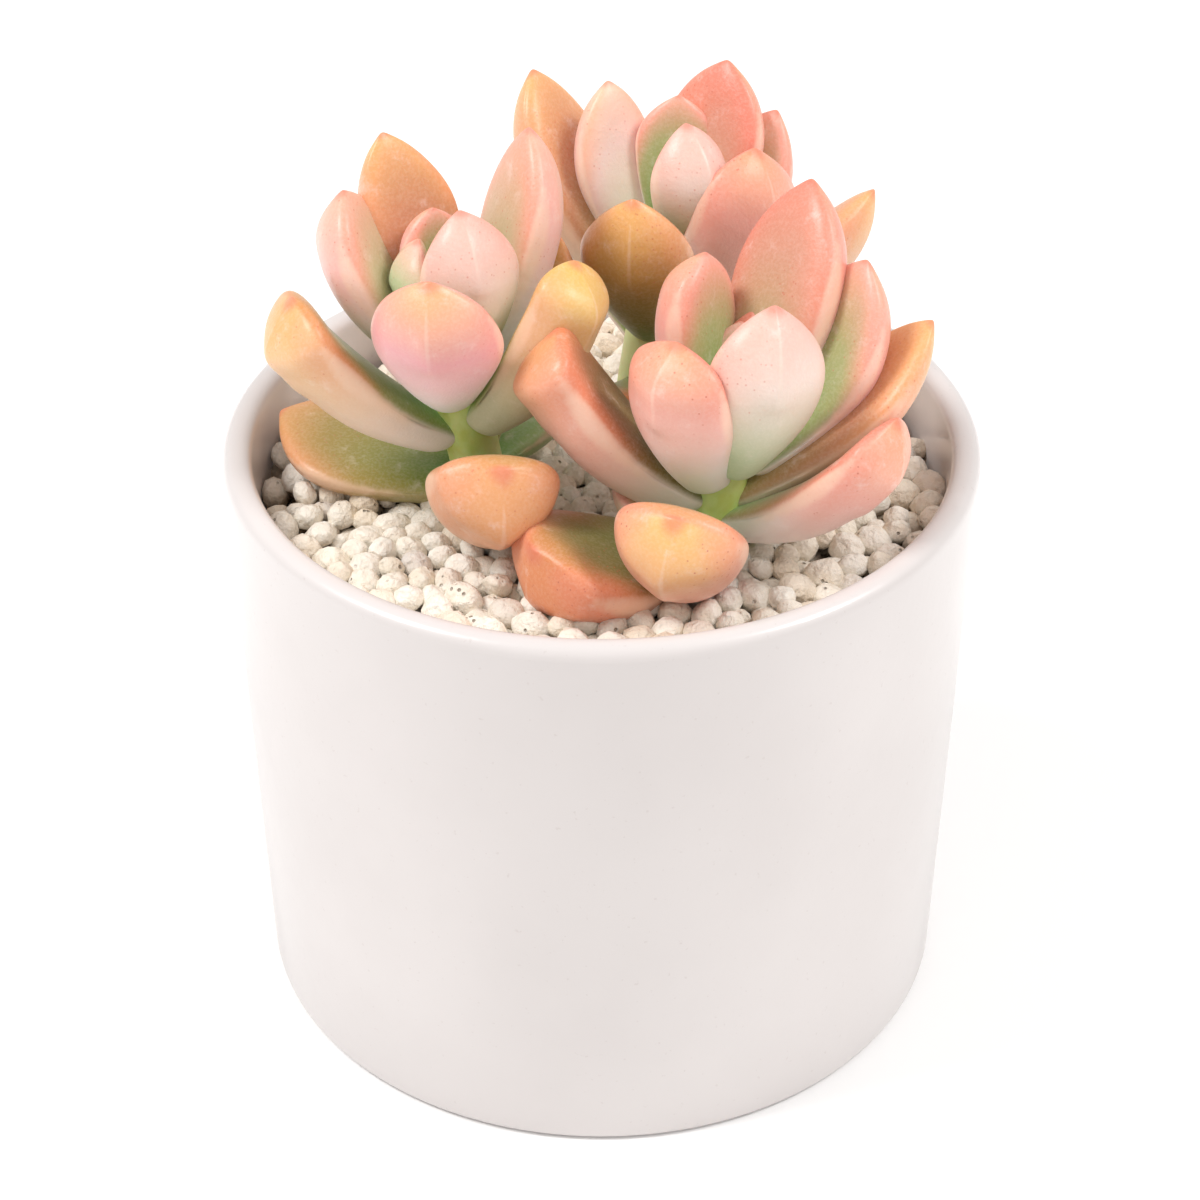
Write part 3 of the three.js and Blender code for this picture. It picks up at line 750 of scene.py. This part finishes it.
turn = rng.uniform(0, 2 * pi, PELLETS)
out = (bore_top - PELLET_LARGE) * np.sqrt(rng.random(PELLETS))
size = rng.uniform(PELLET_SMALL, PELLET_LARGE, PELLETS)
lift = rng.uniform(bed_top, pumice_high.z - TOP_DROP, PELLETS)
places = np.stack([out * np.cos(turn), out * np.sin(turn), lift], 1)
for shake in range(SHAKES):
    apart = places[:, None] - places[None]
    gap = np.linalg.norm(apart, axis=2) + 1e-9
    press = (PACKING * (size[:, None] + size[None]) - gap).clip(0)
    np.fill_diagonal(press, 0)
    places += EASE * (apart / gap[:, :, None] * press[:, :, None]).sum(axis=1)
    if shake % PLANT_SHAKE == PLANT_SHAKE - 1:
        for i, place in enumerate(places):
            near, outward, _, distance = plant_tree.find_nearest(Vector(place), 2 * size[i])
            if near is None:
                continue
            away = Vector(place) - near
            inside = away.dot(outward) < 0
            room = (size[i] + distance) if inside else (PRESS_IN * size[i] - distance)
            if room > 0:
                way = (-away if inside else away).normalized()
                way.z = min(way.z, 0.0)
                places[i] += np.array(way) * room
    places[:, 2] = places[:, 2].clip(bed_top - SINK, pumice_high.z + PROUD - size)
    far = np.linalg.norm(places[:, :2], axis=1)
    bore_here = bore_top - WALL_NEAR * size
    over = far > bore_here
    places[over, :2] *= (bore_here[over] / far[over])[:, None]

drawn_lumps = [np.array([vertex.co for vertex in lump.data.vertices]) for lump in lumps]
lump_faces = np.array([list(face.vertices) for face in lumps[0].data.polygons])
pellet_points = []
pellet_faces = []
pellet_tints = []
for i in range(PELLETS):
    rolled = Matrix.Rotation(rng.uniform(0, 2 * pi), 3, "Z") @ Matrix.Rotation(rng.uniform(0, pi), 3, "X")
    pellet = drawn_lumps[i % LUMPS] @ np.array(rolled).T * size[i] * LUMP_SWELL
    pellet_faces.append(lump_faces + len(pellet_points) * len(pellet))
    pellet_points.append(pellet + places[i])
    pellet_tints.append(np.full(len(pellet), rng.random()))
pumice_mesh = bpy.data.meshes.new("pumice_pellets")
pumice_mesh.from_pydata(np.concatenate(pellet_points).tolist(), [], np.concatenate(pellet_faces).tolist())
tint_values = pumice_mesh.attributes.new("pellet_tint", "FLOAT", "POINT")
tint_values.data.foreach_set("value", np.concatenate(pellet_tints).astype(np.float32))
pumice = bpy.data.objects.new("pumice_pellets", pumice_mesh)
bpy.context.collection.objects.link(pumice)
for lump in lumps:
    bpy.data.objects.remove(lump)
bpy.ops.object.select_all(action="DESELECT")
bpy.context.view_layer.objects.active = pumice
pumice.select_set(True)
bpy.ops.object.shade_smooth()

stone = finish("pumice_stone", Roughness=0.85)
tint = stone.make("ShaderNodeAttribute", {"attribute_name": "pellet_tint"}, out=2)
tone = stone.make("ShaderNodeValToRGB", {"stops": STONE_TONES}, {"Fac": tint})
froth = noise(stone, 620, 4, 0.6)
pores = stone.make("ShaderNodeTexVoronoi", None, {"Vector": stone.place, "Scale": 750.0, "Randomness": 1.0})
# Painted shade: the pits, which the relief sinks, are darkened as shade in the pores.
pits = (1 - pores.between(0.06, 0.22)) * noise(stone, 300, 2).between(0.54, 0.64)
stain = noise(stone, 300, 2).between(0.55, 0.75) * 0.3
colour = stain.blend(tone, STONE_STAIN)
# Painted shade in the hollows of the frothy relief.
colour = (froth.between(0.6, 0.4) * 0.2).blend(colour, STONE_HOLLOW_SHADE)
# Painted shade: pellets lower in the layer, down among the others, are darkened.
height = stone.make("ShaderNodeSeparateXYZ", None, {"Vector": stone.place}, out=2)
shade_below_top = (1 - height.between(pumice_high.z - 4.5 * MM, pumice_high.z - 1.2 * MM)) * 0.75
colour = shade_below_top.blend(colour, STONE_DEPTH_SHADE)
feed(stone, "Base Color", (pits * 0.7).blend(colour, STONE_PIT_SHADE))
relief(stone, 0.8 * froth + 1.2 * noise(stone, 380, 2) - 0.6 * pits, 1.0 * MM)
pumice.data.materials.append(stone.material)

# A bed under the pellets, painted dark as the shade in the gaps between them.
bed = drum("pumice_bed", BED_SIDES, bore_top * BED_FILL, pumice_low.z, bed_top)
bed_shade = finish("pumice_bed_shade", Roughness=0.95)
bed_mottle = noise(bed_shade, 900, 4, 0.7)
feed(bed_shade, "Base Color", bed_mottle.between(0.35, 0.65).blend(*BED_SHADE_TONES))
relief(bed_shade, bed_mottle, 0.5 * MM)
bed.data.materials.append(bed_shade.material)
for piece in (bed, pumice):
    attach(piece, "root")
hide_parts("pumice_layer")
